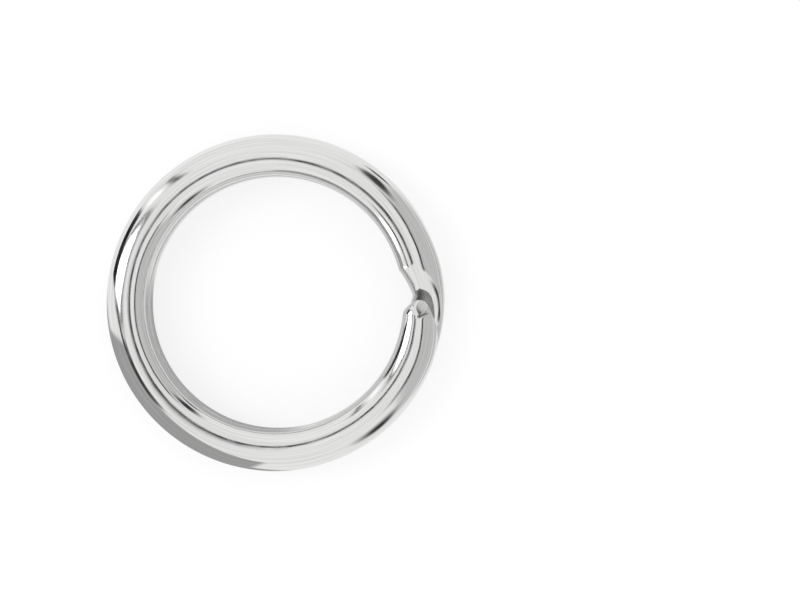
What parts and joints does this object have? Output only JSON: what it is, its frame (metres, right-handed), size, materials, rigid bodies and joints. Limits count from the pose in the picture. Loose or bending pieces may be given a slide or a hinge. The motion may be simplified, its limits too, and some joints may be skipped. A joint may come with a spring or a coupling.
{
  "type": "split key ring",
  "caption": "Flat split key ring of polished domed wire: overlapping turns joined by an S-shaped crossover between slanted cut ends, for threading on keys, tags or charms.",
  "frame": {"origin": "on the surface that the ring lies on, on the ring's axis", "axes": "+Z along the ring's axis, up from the surface; +X from the axis to the split, at the middle of the crossover"},
  "size_m": [0.012, 0.012, 0.002],
  "materials": {
    "polished_metal": "bright silver-coloured plating over steel, polished, with fine draw lines along the wire"
  },
  "bodies": {
    "lower_end": {"lower_turn_free_half": "polished_metal"},
    "middle_wire": {"lower_turn_fixed_half": "polished_metal", "crossover": "polished_metal", "upper_turn_fixed_half": "polished_metal"},
    "upper_end": {"upper_turn_free_half": "polished_metal"}
  },
  "joints": [
    {"name": "lower_turn_spread", "type": "hinge", "parent": "lower_end", "child": "middle_wire", "pos_m": [-0.00528, 0, 0.00047], "axis": [0, -1, 0], "range_deg": [0, 7], "stiffness_Nm_per_rad": 0.9, "springref_deg": -1.72},
    {"name": "upper_turn_spread", "type": "hinge", "parent": "middle_wire", "child": "upper_end", "pos_m": [-0.00528, 0, 0.00153], "axis": [0, -1, 0], "range_deg": [0, 7], "stiffness_Nm_per_rad": 0.9, "springref_deg": -1.72}
  ]
}
